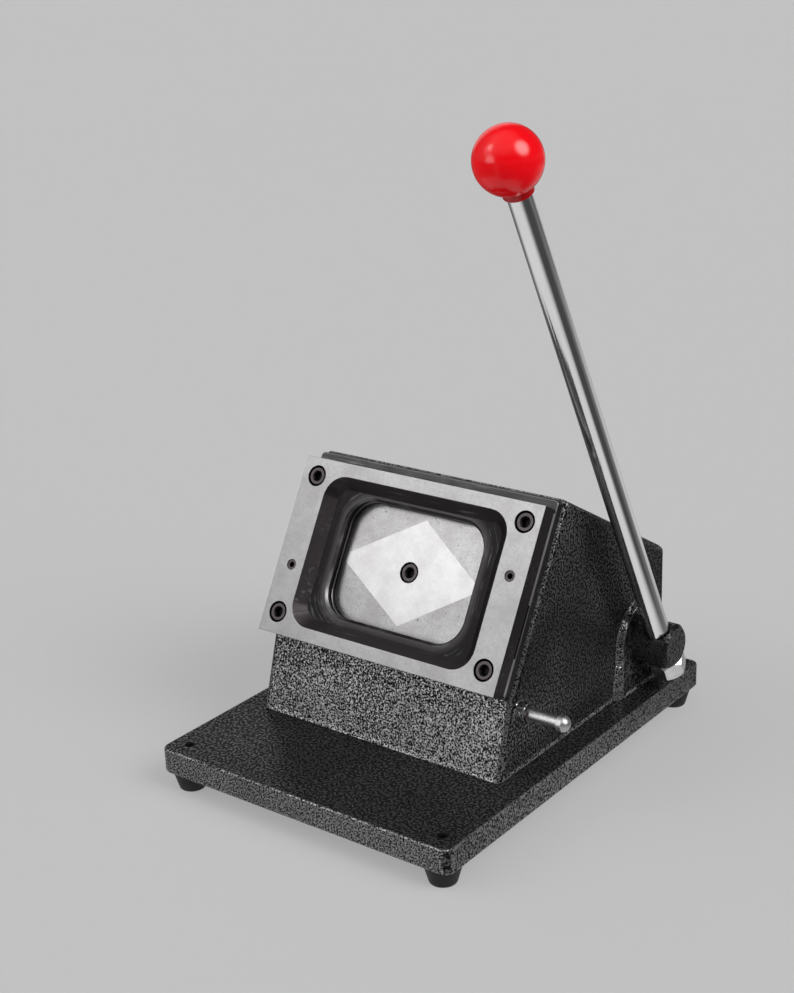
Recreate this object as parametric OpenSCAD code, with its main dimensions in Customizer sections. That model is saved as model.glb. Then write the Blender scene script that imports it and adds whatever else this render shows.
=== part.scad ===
// Badge cutter: a lever turns an eccentric shaft that drives a punch through an inclined die plate.
// Millimetres, +X to the right, -Y to the front, +Z up, standing on its feet at Z = 0.

/* [Card and punch] */
// Width of the card that is cut
punch_w = 96; // [80:1:106]
// Height of the card that is cut
punch_h = 70; // [60:1:78]
// Corner radius of the card
punch_r = 16; // [8:0.5:20]
// Thickness of the punch block
punch_t = 20; // [16:0.5:24]
// How far the punch face rests behind the sheet slot
punch_recess = 1.5; // [0.5:0.25:3]
// Tilt of the four ground relief facets, in degrees
facet_tilt = 3; // [1:0.5:5]
// How far the flat diamond's side tips run past the punch's edge
tip_over = 2; // [0:0.5:6]
// How far the flat diamond's upper and lower tips stop short of the edge
tip_short = 3.5; // [0:0.5:6]
// How far the diamond's upper and lower tips lie to the right of the middle
tip_shift = 2; // [0:0.5:4]
// Running gap between punch and die, all round
die_clear = 0.2; // [0.15:0.05:0.4]
// Running gap between punch and back plate, all round
guide_clear = 0.3; // [0.2:0.05:0.5]

/* [Die plate] */
// Lean of the die plate from the vertical, in degrees
lean = 30; // [27:0.5:33]
// Thickness of the die plate
plate_t = 10; // [9:0.5:13]
// Run and depth of the bevel round the window
bevel = 6.5; // [4:0.5:7.5]
// Width of the ledge beside the die hole
ledge_side = 10; // [6:0.5:14]
// Width of the ledge above the die hole
ledge_top = 3; // [2:0.5:6]
// Width of the ledge below the die hole
ledge_low = 5; // [2:0.5:7]
// Width of the bright frame beside the window
frame_side = 19.3; // [18:0.1:24]
// Width of the bright frame above and below the window
frame_top = 8; // [7:0.5:12]
// Corner radius of the window at the front
window_r = 14; // [10:0.5:16]
// Chamfer on the front edge of the die hole
hole_edge = 1.5; // [0.5:0.25:2]
// Height of the die plate's lower edge above the base
plate_z = 53.5; // [50:0.5:58]

/* [Sheet slot] */
// Gap that the sheet slides into
slot_t = 2; // [1.5:0.25:3]
// Thickness of the back plate
back_t = 5.5; // [5:0.5:8]
// Corner radius of the back plate
back_corner = 2.5; // [1:0.5:5]
// How far the back plate stands above the die plate
back_rise = 5.5; // [3:0.5:7]
// Width of the spacer strips
spacer_w = 16; // [15:0.5:17]
// Length of the long spacer strips
spacer_long = 52; // [50:1:60]
// Length of the short spacer strips
spacer_short = 23; // [20:1:26]
// How far the spacers stop below or above the plate's corners
spacer_set = 2; // [1:0.5:4]

/* [Plate fasteners] */
// Diameter of the cap screws' shanks
screw_d = 6; // [5:0.5:6.5]
// Diameter of the cap screws' heads
head_d = 10; // [9.5:0.5:11]
// Height of the cap screws' heads
head_h = 6; // [4:0.5:6.5]
// Hexagon socket across flats
socket_af = 5; // [4:0.5:6]
// Depth of the hexagon socket
socket_h = 3.5; // [2:0.5:4]
// Width of the lead-in round the hexagon socket
socket_lead = 0.5; // [0.25:0.25:0.75]
// Diameter of the counterbores for the screw heads
bore_d = 12.5; // [11.5:0.5:13.5]
// How far a screw head lies below its surface
head_sink = 0.5; // [0.2:0.1:1]
// Distance of the plate screws from the plate's sides
screw_side = 10.5; // [9:0.5:11]
// Distance of the upper plate screws from the plate's upper edge
screw_top = 11; // [9:0.5:14]
// Distance of the lower plate screws from the plate's lower edge
screw_low = 12.8; // [9:0.2:14]
// How far the plate screws reach into the casting
screw_grip = 11; // [8:0.5:13]
// Diameter of the dowel pins
dowel_d = 6; // [5:0.5:7]
// Diameter of the dowel pins' extraction thread
dowel_thread = 3.4; // [2.5:0.1:4]
// Height of each dowel pin above or below the plate's middle
dowel_step = 12; // [8:0.5:16]
// Radial gap of a screw or pin in its hole
screw_gap = 0.1; // [0.05:0.05:0.2]

/* [Casting] */
// How far the casting's sides stand outside the die plate's
plate_set = 2; // [1:0.5:4]
// How far the casting's seat rises above the die plate
seat_rise = 7.5; // [6:0.5:12]
// Thickness of the walls
wall_t = 9; // [7:0.5:11]
// Thickness of the wall behind the back plate
seat_wall = 12; // [11:0.5:15]
// Radius of the casting's side edges
edge_r = 4; // [2:0.5:6]
// Radius between the roof and the rear wall
roof_r = 10; // [6:1:16]
// Distance from the shaft's axis to the rear wall's outside
rear_gap = 32.5; // [30:0.5:36]
// Gap round the punch in the casting's front opening
mouth_clear = 1.5; // [1:0.25:3]
// Radius of the bearing bosses
boss_r = 26; // [24:0.5:28]
// How far the bearing bosses stand out of the sides
boss_out = 3.5; // [3:0.5:6]
// How much narrower a bearing boss is at its face, on each side
boss_draft = 3; // [1:0.5:4]
// How far the foot of a bearing boss flares out
boss_flare = 3; // [2:0.5:12]
// Height of that flare
flare_h = 22; // [15:0.5:28]
// How far the bearing bosses reach inside
boss_in = 8; // [5:0.5:12]
// Diameter of the columns that take the base bolts
column_d = 16; // [14:0.5:18]
// Height of the columns
column_h = 14; // [11:0.5:15]
// Depth of the bolt holes in the columns
column_hole = 12; // [10:0.5:12.5]
// How far the base bolts reach into the columns
bolt_grip = 11; // [8:0.5:11.5]
// How far the column's centre stands inside the wall
column_in = 5; // [4:0.5:7]

/* [Base] */
// Thickness of the base plate
base_t = 15; // [12:0.5:18]
// Distance from the base's front edge to the casting's foot
base_front = 71.5; // [60:0.5:85]
// Margin of the base beside the casting
base_side = 16.5; // [12:0.5:22]
// Margin of the base behind the casting
base_back = 18; // [10:0.5:25]
// Corner radius of the base plate
base_r = 6; // [3:0.5:10]
// How far the die plate's lower edge stands ahead of the casting's foot
plate_ahead = 1.5; // [0:0.5:4]

/* [Feet] */
// Diameter of a rubber foot at the base
foot_d = 22; // [20:0.5:24]
// Diameter of a rubber foot at the ground
foot_tip_d = 16; // [15:0.5:18]
// Height of a rubber foot
foot_h = 12; // [10:0.5:14]
// Radius of a rubber foot's lower edge
foot_edge = 1.5; // [0.5:0.25:2]
// Distance of the feet from the base's edges
foot_inset = 12.2; // [11.4:0.2:20]
// Diameter of the foot screws
foot_screw_d = 4; // [3:0.5:5]
// Diameter of the foot screws' heads
foot_head_d = 8; // [7:0.5:8.5]
// Height of the foot screws' heads
foot_head_h = 3; // [2:0.25:3.5]
// Gap round a foot screw's head in the rubber
foot_play = 0.75; // [0.5:0.05:1]
// Thickness of the washer under a foot screw's head
foot_washer_t = 1.2; // [0.8:0.1:2]
// Rubber left between washer and base
foot_web = 4; // [3:0.25:5]
// How far a foot screw reaches into the base
foot_grip = 9; // [6:0.5:11]

/* [Shaft and ram] */
// Height of the shaft's axis above the base
shaft_z = 32.1; // [30:0.1:36]
// Height of the shaft's axis above the punch's axis, along the die plate
shaft_up = 2.6; // [1:0.2:4]
// Diameter of the shaft
shaft_d = 27; // [25:0.5:29]
// Diameter of the eccentric journal
journal_d = 15; // [13:0.5:15.5]
// Length of the eccentric journal
journal_w = 36; // [34:0.5:42]
// Eccentricity of the journal
throw = 5.5; // [4.5:0.25:5.75]
// Running gap between the journal and the ram
journal_gap = 0.3; // [0.2:0.05:0.4]
// Wall of a bearing bush
bush_t = 3; // [2:0.25:4]
// Radial running gap in the bushes and the guide sleeve
run_gap = 0.05; // [0.03:0.01:0.08]
// Thickness of the shaft's retaining rings
ring_t = 1.5; // [1:0.1:2]
// How far a retaining ring stands out of the shaft
ring_out = 3; // [2:0.25:4]
// Depth of the retaining rings' grooves
groove_h = 1; // [0.6:0.1:1.5]
// Opening of the retaining rings
ring_mouth = 9; // [7:0.5:12]
// Side gap of the retaining rings
ring_gap = 0.2; // [0.15:0.05:0.4]
// How far the shaft stands out on the left
shaft_stub = 3; // [1:0.5:6]
// Diameter of the ram
ram_d = 50; // [46:1:54]
// Width of the tongue at the ram's rear
tongue_w = 32; // [28:0.5:33]
// Length of the tongue
tongue_len = 28; // [26:0.5:32]
// Height of the tongue above the shaft's axis
tongue_up = 15; // [12:0.5:15]
// Depth of the tongue below the shaft's axis
tongue_down = 5; // [4.5:0.25:6]
// Thickness of the hardened push pad
pad_t = 4; // [3:0.5:6]
// Margin of the push pad inside the tongue's end
pad_edge = 3; // [2:0.5:5]
// Thickness of the hook's leg and upright
hook_t = 8; // [7:0.5:8.5]
// Height of the hook's upright above the shaft's axis
hook_up = 9; // [7:0.5:10]
// Spacing of the hook bolts
hook_bolt_gap = 17; // [14:0.5:18]
// How far the hook bolts reach into the tongue
hook_grip = 14; // [10:0.5:16]
// Wall of the guide sleeve
sleeve_t = 5; // [4:0.5:7]
// Radius by which the sleeve's flange stands out
flange_out = 4; // [3:0.5:6]
// Thickness of the sleeve's flange
flange_t = 4; // [3:0.5:6]
// Gap between the punch's back and the sleeve at rest
stop_gap = 0.3; // [0.2:0.05:0.5]
// Room between the sleeve and the ram's tongue at the end of the stroke
sleeve_room = 10; // [6:0.5:14]
// Wall of the casting's tube round the sleeve
tube_t = 9; // [7:0.5:11]
// Thickness of the rib that carries the tube
rib_t = 9; // [7:0.5:14]
// Width of the guide key
key_w = 8; // [6:0.5:10]
// Length of the guide key
key_len = 24; // [18:1:28]
// Depth of the ram's keyway
key_deep = 3.5; // [3:0.25:5]
// How far the guide key reaches into the tube
key_in = 3; // [2:0.25:4]
// Side gap of the guide key
key_gap = 0.15; // [0.1:0.05:0.25]
// Diameter of the dowels between punch and ram
ram_dowel_d = 6; // [5:0.5:7]
// Distance of those dowels from the axis
ram_dowel_off = 15; // [13:0.5:17]
// How far those dowels reach into punch and ram
ram_dowel_in = 10; // [8:0.5:12]
// How far the punch screw reaches into the ram
punch_grip = 16; // [12:0.5:20]

/* [Lever] */
// Forward lean of the raised lever, in degrees from the vertical
lever_angle = 27.1; // [24:0.1:29]
// Swing of the lever down to its stop pin, in degrees
lever_swing = 56; // [52:0.5:57]
// How far the shaft stands out of the right bearing boss
hub_len = 22.8; // [21:0.2:26]
// Distance of the rod from the shaft's end
rod_from_end = 9.7; // [9:0.1:11]
// Chamfer on the shaft's ends
hub_chamfer = 2; // [1:0.25:3]
// Diameter of the rod at the shaft
rod_d = 14.5; // [13:0.25:16]
// Diameter of the rod at the knob
rod_tip_d = 12.7; // [11:0.1:14]
// Distance from the shaft's axis to the knob's centre
lever_len = 348; // [300:1:380]
// Depth of the flat that the rod's shoulder sits on
flat_deep = 3.2; // [2.5:0.1:4]
// Margin of that flat round the rod
flat_edge = 1.2; // [0.5:0.1:1.5]
// Diameter of the threaded end through the shaft
stud_d = 12; // [10:0.5:12.5]
// Depth of the flat under the nut
seat_deep = 1.3; // [1:0.1:2]
// Hexagon nut across flats
nut_af = 19; // [17:0.5:21]
// Room round the nut on its flat
nut_room = 1; // [0.5:0.25:2]
// Height of the nut
nut_h = 11; // [8:0.5:12]
// Turn of the nut about the rod, in degrees
nut_turn = 50; // [0:5:60]
// How far the threaded end stands out of the nut
stud_out = 1.5; // [0.5:0.25:2]
// Diameter of the ball knob
ball_d = 35; // [30:0.5:40]
// Diameter of the knob's neck
neck_d = 16; // [15:0.5:18]
// How far the neck stands below the ball
neck_h = 1.2; // [0.6:0.1:2.5]
// Outer diameter of the knob's threaded insert
insert_d = 12; // [11:0.5:13]
// Depth of the insert in the knob
insert_h = 17; // [12:0.5:20]
// Diameter of the rod's threaded tip
tip_d = 8; // [6:0.5:9]
// Length of the rod's threaded tip
tip_len = 14; // [10:0.5:16]

/* [Stop pin] */
// Distance of the stop pin behind the lower edge of the casting's seat
stop_in = 6.8; // [4:0.2:10]
// Diameter of the stop pin
stop_d = 6.6; // [5.5:0.1:8]
// Diameter of the stop pin's head
stop_head_d = 9.3; // [9:0.1:11]
// Length of the head's straight part
stop_head_h = 3.2; // [2:0.1:4]
// Height of the head's dome
stop_dome = 3.2; // [2:0.1:4]
// Length of the pin between its washer and its head
stop_len = 18.5; // [17.5:0.5:22]
// Gap between rod and pin at the end of the swing
stop_clear = 0.3; // [0.2:0.05:0.6]
// Diameter of the cast boss at the pin's root
stop_boss_d = 11; // [10:0.25:12]
// Length of that boss
stop_boss_h = 6; // [4:0.5:7]
// Diameter of the black washer at the pin's root
stop_washer_d = 10; // [9:0.25:11]
// Thickness of the black washer
stop_washer_t = 1.5; // [1:0.1:2]

/* [Hidden] */
$fn = 64;
hull_fn = 32;
over = 1;

paint = [0.13, 0.13, 0.14];
black_oxide = [0.16, 0.15, 0.16];
ground_steel = [0.78, 0.77, 0.78];
bright_steel = [0.7, 0.7, 0.72];
bronze = [0.66, 0.5, 0.26];
black_rubber = [0.05, 0.05, 0.05];
red_plastic = [0.86, 0.06, 0.09];

// Die hole, window and plates, outwards from the card
hole_w = punch_w + 2 * die_clear;
hole_h = punch_h + 2 * die_clear;
hole_r = punch_r + die_clear;
window_w = hole_w + 2 * (ledge_side + bevel);
window_h = hole_h + ledge_top + ledge_low + 2 * bevel;
window_mid = (ledge_top - ledge_low) / 2;
plate_w = window_w + 2 * frame_side;
plate_h = window_h + 2 * frame_top;
plate_low = window_mid - plate_h / 2;
plate_high = window_mid + plate_h / 2;
back_depth = plate_t + slot_t;
seat_depth = back_depth + back_t;
punch_depth = back_depth + punch_recess;
punch_end = punch_depth + punch_t;
bore_h = head_h + head_sink;
screw_x = plate_w / 2 - screw_side;
screw_rows = [plate_low + screw_low, plate_high - screw_top];
dowel_x = plate_w / 2 - screw_side;

// Die centre, shaft and ram on one inclined axis
die_y = base_front - plate_ahead - sin(lean) * plate_low;
die_z = plate_z - cos(lean) * plate_low;
shaft_back = (die_z - shaft_z + shaft_up * cos(lean)) / sin(lean);
shaft_y = die_y + cos(lean) * shaft_back + sin(lean) * shaft_up;
rest_back = throw * sin(lever_swing / 2);
stroke = 2 * rest_back;
journal_half = journal_d / 2 + journal_gap;
tongue_end = journal_half - rest_back;
tongue_front = tongue_end + tongue_len;
hook_face = -journal_half - rest_back;
ram_len = shaft_back - tongue_front - punch_end;
sleeve_d = ram_d + 2 * (run_gap + sleeve_t);
flange_d = sleeve_d + 2 * flange_out;
sleeve_front = punch_end + stop_gap;
sleeve_seat = sleeve_front + flange_t;
tube_end = shaft_back - tongue_front - stroke - sleeve_room;
rib_depth = (sleeve_seat + tube_end) / 2;
key_depth = rib_depth;
key_low = ram_d / 2 - key_deep + key_gap;
key_high = sleeve_d / 2 + key_in;

// Casting outline in the plane of the sides, as [y, z]
casting_w = plate_w + 2 * plate_set;
casting_rear = shaft_y + rear_gap;
base_w = casting_w + 2 * base_side;
base_d = casting_rear + base_back;
seat_top = plate_high + seat_rise;
foot_front = [base_front, 0];
seat_low = on_side(plate_low, seat_depth);
seat_high = on_side(seat_top, seat_depth);
roof_rear = [casting_rear, seat_high[1] - tan(lean) * (casting_rear - seat_high[0])];
foot_rear = [casting_rear, 0];
front_lean = atan2(seat_low[0] - foot_front[0], seat_low[1] - foot_front[1]);
roof_steps = 10;
roof_turn = 90 - lean;
roof_run = roof_r * tan(roof_turn / 2);
roof_arc_mid = [casting_rear - roof_r, roof_rear[1] - roof_run];
inner_front = shift_in(foot_front, front_lean, wall_t);
inner_seat = shift_in(seat_low, lean, seat_wall);
inner_roof = on_side(seat_top - wall_t, seat_depth);
inner_low = meet(inner_front, front_lean, [0, -over], 90);
inner_bend = meet(inner_front, front_lean, inner_seat, lean);
inner_high = meet(inner_seat, lean, inner_roof, lean + 90);
inner_rear = [casting_rear - wall_t, inner_high[1] - tan(lean) * (casting_rear - wall_t - inner_high[0])];
reach = 2 * base_d;
column_x = casting_w / 2 - wall_t - column_in;
column_front = inner_low[0] + column_d / 2 + over;
column_rear = casting_rear - wall_t - column_in;
column_points = [for (sx = [-1, 1], y = [column_front, column_rear]) [sx * column_x, y]];
boss_face = casting_w / 2 + boss_out;
bush_d = shaft_d + 2 * (run_gap + bush_t);
bush_len = boss_out + wall_t + boss_in;
bush_inner = boss_face - bush_len;

// Feet
foot_points = [
    for (sx = [-1, 1], y = [foot_inset, base_d - foot_inset]) [sx * (base_w / 2 - foot_inset), y]
];
foot_recess_d = foot_head_d + 2 * foot_play;
foot_recess_h = foot_h - foot_web;
foot_slope = atan2((foot_d - foot_tip_d) / 2, foot_h);
foot_arc_steps = 6;

// Lever and stop pin
hub_end = boss_face + hub_len;
lever_x = hub_end - rod_from_end;
rod_seat = shaft_d / 2 - flat_deep;
nut_seat = shaft_d / 2 - seat_deep;
neck_low = lever_len - ball_d / 2 - neck_h;
cam_phase = -(lean + lever_angle + lever_swing / 2);
swing_end = lever_angle + lever_swing;
stop_y = seat_low[0] + stop_in;
rod_share = ((shaft_y - stop_y) / sin(swing_end) - rod_seat) / (neck_low - rod_seat);
rod_at_stop = rod_d + (rod_tip_d - rod_d) * rod_share;
stop_off = rod_at_stop / 2 + stop_d / 2 + stop_clear;
stop_reach = (shaft_y - stop_y - stop_off * cos(swing_end)) / sin(swing_end);
stop_z = shaft_z + stop_reach * cos(swing_end) - stop_off * sin(swing_end);
stop_root = casting_w / 2 + stop_boss_h;
stop_shank = stop_root + stop_washer_t + stop_len;
dome_r = (pow(stop_head_d / 2, 2) + pow(stop_dome, 2)) / (2 * stop_dome);
dome_turn = acos((dome_r - stop_dome) / dome_r);
dome_steps = 8;

// The machine's own frame stands on the base plate's top, with its front edge at Y = 0
stand_h = foot_h + base_t;
mid_x = (lever_x + ball_d / 2 - base_w / 2) / 2;
mid_y = base_d / 2;

// A point of the casting's side outline: up along the die plate and behind its front
function on_side(up, depth) = [
    die_y + up * sin(lean) + depth * cos(lean),
    die_z + up * cos(lean) - depth * sin(lean)
];

// Direction of a side line that leans back from the vertical, and a point moved inside such a line
function along(angle) = [sin(angle), cos(angle)];
function shift_in(p, angle, by) = p + by * [cos(angle), -sin(angle)];

// Crossing of two side lines, each given by a point and its lean
function cross2(a, b) = a[0] * b[1] - a[1] * b[0];
function meet(p, a, q, b) = p + along(a) * cross2(q - p, along(b)) / cross2(along(a), along(b));

module placed() {
    translate([-mid_x, -mid_y, stand_h]) children();
}

// Frame on the die plate's front at the die's centre: Y up along the plate, Z out of it
module at_die() {
    placed() translate([0, die_y, die_z]) rotate([90 - lean, 0, 0]) children();
}

// The same directions at the shaft's axis, which lies a little above the punch's
module at_drive() {
    placed() translate([0, shaft_y, shaft_z]) rotate([90 - lean, 0, 0]) children();
}

// Frame of the raised lever: Z along the rod
module at_lever() {
    placed() translate([0, shaft_y, shaft_z]) rotate([lever_angle, 0, 0]) children();
}

module along_x(from) {
    translate([from, 0, 0]) rotate([0, 90, 0]) children();
}

module rounded(w, h, r) {
    square([w - 2 * r, h], center = true);
    square([w, h - 2 * r], center = true);
    for (sx = [-1, 1], sy = [-1, 1])
        translate([sx * (w / 2 - r), sy * (h / 2 - r)]) circle(r);
}

// Rounded rectangle with slanted walls, from the size at Z = 0 to a smaller one at Z = -deep
module slanted_pocket(w, h, r, deep) {
    hull()
        for (sx = [-1, 1], sy = [-1, 1])
            translate([sx * (w / 2 - r), sy * (h / 2 - r), -deep])
                cylinder(r1 = r - deep, r2 = r, h = deep, $fn = hull_fn);
}

module cap_screw(grip) {
    socket_d = socket_af / cos(30);
    difference() {
        union() {
            translate([0, 0, -head_h]) cylinder(d = head_d, h = head_h);
            translate([0, 0, -head_h - grip]) cylinder(d = screw_d, h = grip + over);
        }
        translate([0, 0, -socket_h]) cylinder(d = socket_d, h = socket_h + over, $fn = 6);
        translate([0, 0, -socket_d / 2 - socket_lead])
            cylinder(d1 = 0, d2 = socket_d + 2 * (socket_lead + over),
                h = socket_d / 2 + socket_lead + over);
    }
}

module screw_hole(deep) {
    translate([0, 0, -bore_h]) cylinder(d = bore_d, h = bore_h + over);
    translate([0, 0, -deep]) cylinder(d = screw_d + 2 * screw_gap, h = deep);
}

module plate_points() {
    for (sx = [-1, 1], y = screw_rows)
        translate([sx * screw_x, y, 0]) children();
}

module dowel_points() {
    for (s = [-1, 1])
        translate([s * dowel_x, window_mid + s * dowel_step, 0]) children();
}

module plate_holes() {
    plate_points() translate([0, 0, -reach / 2]) cylinder(d = screw_d + 2 * screw_gap, h = reach);
    dowel_points() translate([0, 0, -reach / 2]) cylinder(d = dowel_d + 2 * screw_gap, h = reach);
}

module base_plate() {
    color(paint) placed() difference() {
        translate([0, base_d / 2, -base_t]) linear_extrude(base_t) rounded(base_w, base_d, base_r);
        for (p = foot_points)
            translate([p[0], p[1], -base_t - over])
                cylinder(d = foot_screw_d + 2 * screw_gap, h = base_t + 2 * over);
        for (p = column_points)
            translate([p[0], p[1], -base_t]) mirror([0, 0, 1]) screw_hole(base_t + over);
    }
}

// Turned outline of a foot, with its lower edge rounded in steps
function foot_outline() = concat(
    [[0, 0], [foot_d / 2, 0]],
    [
        for (i = [0 : foot_arc_steps])
            let (a = -foot_slope - i * (90 - foot_slope) / foot_arc_steps)
                [foot_tip_d / 2 - foot_edge + foot_edge * cos(a), -foot_h + foot_edge + foot_edge * sin(a)]
    ],
    [[0, -foot_h]]
);

module rubber_feet() {
    color(black_rubber) placed() for (p = foot_points)
        translate([p[0], p[1], -base_t]) difference() {
            rotate_extrude() polygon(foot_outline());
            translate([0, 0, -foot_h - over]) cylinder(d = foot_recess_d, h = foot_recess_h + over);
            translate([0, 0, -foot_h]) cylinder(d = foot_screw_d + 2 * screw_gap, h = foot_h + over);
        }
}

module foot_washers() {
    color(bright_steel) placed() for (p = foot_points)
        translate([p[0], p[1], -base_t - foot_web - foot_washer_t]) difference() {
            cylinder(d = foot_recess_d - 2 * screw_gap, h = foot_washer_t);
            translate([0, 0, -over])
                cylinder(d = foot_screw_d + 2 * screw_gap, h = foot_washer_t + 2 * over);
        }
}

module foot_screws() {
    head_low = foot_web + foot_washer_t + foot_head_h;
    color(bright_steel) placed() for (p = foot_points)
        translate([p[0], p[1], -base_t - head_low]) {
            cylinder(d = foot_head_d, h = foot_head_h);
            cylinder(d = foot_screw_d, h = head_low + foot_grip);
        }
}

// Slab with two rounded edges, behind a face that leans back from the vertical
module face_slab(p, angle) {
    inner_w = casting_w - 2 * edge_r;
    translate([0, p[0], p[1]]) rotate([90 - angle, 0, 0]) rotate([90, 0, 0])
        linear_extrude(reach, center = true) {
            translate([-inner_w / 2, -reach]) square([inner_w, reach]);
            translate([-casting_w / 2, -reach]) square([casting_w, reach - edge_r]);
            for (s = [-1, 1]) translate([s * inner_w / 2, -edge_r]) circle(edge_r);
        }
}

module side_extrude(points, w) {
    rotate([90, 0, 90]) linear_extrude(w, center = true) polygon(points);
}

module casting_block() {
    roof_arc = [
        for (i = [0 : roof_steps])
            let (a = 90 - lean - roof_turn * i / roof_steps)
                roof_arc_mid + roof_r * [cos(a), sin(a)]
    ];
    ahead = [wall_t, 0];
    roof_front = on_side(seat_top, seat_depth - wall_t);
    intersection() {
        side_extrude(
            concat([foot_front - ahead, seat_low - ahead, roof_front], roof_arc, [foot_rear]),
            casting_w
        );
        face_slab(foot_front, front_lean);
        face_slab(seat_low, lean);
        face_slab(seat_high, lean + 90);
        face_slab(foot_rear, 180);
    }
}

module casting_cavity() {
    side_extrude(
        [inner_low, inner_bend, inner_high, inner_rear, [casting_rear - wall_t, -over]],
        casting_w - 2 * wall_t
    );
}

// Round-topped bearing boss that stands on the base
module bearing_boss() {
    h = boss_out + over;
    top_r = boss_r - boss_draft;
    translate([casting_w / 2 - over, shaft_y, 0]) {
        linear_extrude(shaft_z) polygon([[0, -boss_r], [h, -top_r], [h, top_r], [0, boss_r]]);
        translate([0, 0, shaft_z]) intersection() {
            along_x(0) cylinder(r1 = boss_r, r2 = top_r, h = h);
            translate([-over, -2 * boss_r, 0]) cube([4 * h, 4 * boss_r, 2 * boss_r]);
        }
        boss_foot();
    }
}

// Wedge in front of the boss, widest where the boss meets both the base and the side
module boss_foot() {
    low = -boss_r - boss_flare;
    intersection() {
        rotate([90, 0, 90]) linear_extrude(boss_out + over)
            polygon([[low, 0], [0, 0], [0, flare_h], [-boss_r, flare_h]]);
        linear_extrude(shaft_z)
            polygon([[0, low], [over, low], [boss_out + over, boss_draft - boss_r], [boss_out + over, 0],
                [0, 0]]);
    }
}

// Frame of the casting at the die's centre, without the shift to the standing frame
module cast_die() {
    translate([0, die_y, die_z]) rotate([90 - lean, 0, 0]) children();
}

module guide_tube() {
    intersection() {
        casting_block();
        cast_die() {
            translate([0, 0, -tube_end]) cylinder(d = sleeve_d + 2 * tube_t, h = tube_end - sleeve_seat);
            translate([-reach / 2, -reach / 2, -rib_depth - rib_t / 2]) cube([reach, reach, rib_t]);
        }
    }
}

module body_casting() {
    color(paint) placed() difference() {
        union() {
            difference() {
                casting_block();
                casting_cavity();
            }
            guide_tube();
            bearing_boss();
            mirror([1, 0, 0]) bearing_boss();
            for (s = [0, 1])
                mirror([s, 0, 0]) translate([0, shaft_y, shaft_z])
                    along_x(bush_inner) cylinder(d = bush_d + 2 * wall_t, h = boss_in + over);
            translate([0, stop_y, stop_z])
                along_x(casting_w / 2 - over) cylinder(d = stop_boss_d, h = stop_boss_h + over);
            for (p = column_points) translate([p[0], p[1], 0]) cylinder(d = column_d, h = column_h);
        }
        translate([0, shaft_y, shaft_z]) along_x(-reach / 2) cylinder(d = bush_d, h = reach);
        translate([0, stop_y, stop_z]) along_x(0) cylinder(d = stop_d + 2 * screw_gap, h = reach);
        for (p = column_points)
            translate([p[0], p[1], -over]) cylinder(d = screw_d + 2 * screw_gap, h = column_hole + over);
        cast_die() {
            translate([0, 0, -seat_depth - seat_wall - over]) linear_extrude(seat_wall + 2 * over)
                rounded(punch_w + 2 * mouth_clear, punch_h + 2 * mouth_clear, punch_r + mouth_clear);
            translate([0, 0, -tube_end - over])
                cylinder(d = sleeve_d, h = tube_end - sleeve_seat + 2 * over);
            translate([-key_w / 2, 0, -key_depth - key_len / 2]) cube([key_w, key_high, key_len]);
            plate_points() translate([0, 0, -seat_depth - seat_wall - over])
                cylinder(d = screw_d + 2 * screw_gap, h = seat_wall + 2 * over);
            dowel_points() translate([0, 0, -seat_depth - screw_grip])
                cylinder(d = dowel_d + 2 * screw_gap, h = screw_grip + over);
        }
    }
}

module body_bolts() {
    color(black_oxide) placed() for (p = column_points)
        translate([p[0], p[1], -base_t + head_sink]) mirror([0, 0, 1])
            cap_screw(base_t - bore_h + bolt_grip);
}

module back_plate() {
    back_h = plate_h + back_rise;
    color(black_oxide) at_die() difference() {
        translate([0, plate_low + back_h / 2, -seat_depth]) linear_extrude(back_t)
            rounded(plate_w, back_h, back_corner);
        translate([0, 0, -seat_depth - over]) linear_extrude(back_t + 2 * over)
            rounded(punch_w + 2 * guide_clear, punch_h + 2 * guide_clear, punch_r + guide_clear);
        plate_holes();
    }
}

// Two long and two short strips, turned about the plate's middle
module slot_spacers() {
    color(bright_steel) at_die() difference() {
        for (turn = [0, 180]) translate([0, window_mid, 0]) rotate(turn) {
            translate([plate_w / 2 - spacer_w, plate_h / 2 - spacer_set - spacer_long, -back_depth])
                cube([spacer_w, spacer_long, slot_t]);
            translate([plate_w / 2 - spacer_w, -plate_h / 2 + spacer_set, -back_depth])
                cube([spacer_w, spacer_short - spacer_set, slot_t]);
        }
        plate_holes();
    }
}

module die_plate() {
    color(ground_steel) at_die() difference() {
        translate([-plate_w / 2, plate_low, -plate_t]) cube([plate_w, plate_h, plate_t]);
        translate([0, window_mid, 0]) slanted_pocket(window_w, window_h, window_r, bevel);
        translate([0, 0, -bevel]) slanted_pocket(hole_w + 2 * hole_edge, hole_h + 2 * hole_edge,
            hole_r + hole_edge, hole_edge);
        translate([0, 0, -plate_t - over]) linear_extrude(plate_t) rounded(hole_w, hole_h, hole_r);
        plate_points() screw_hole(plate_t + over);
        dowel_points() translate([0, 0, -plate_t - over])
            cylinder(d = dowel_d + 2 * screw_gap, h = plate_t + 2 * over);
    }
}

module die_screws() {
    color(black_oxide) at_die() plate_points() translate([0, 0, -head_sink])
        cap_screw(seat_depth - bore_h + screw_grip);
}

module dowel_pins() {
    dowel_len = seat_depth + screw_grip - 2 * head_sink;
    color(bright_steel) at_die() dowel_points() translate([0, 0, -dowel_len - head_sink]) difference() {
        cylinder(d = dowel_d, h = dowel_len);
        translate([0, 0, dowel_len - plate_t]) cylinder(d = dowel_thread, h = plate_t + over);
    }
}

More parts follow.
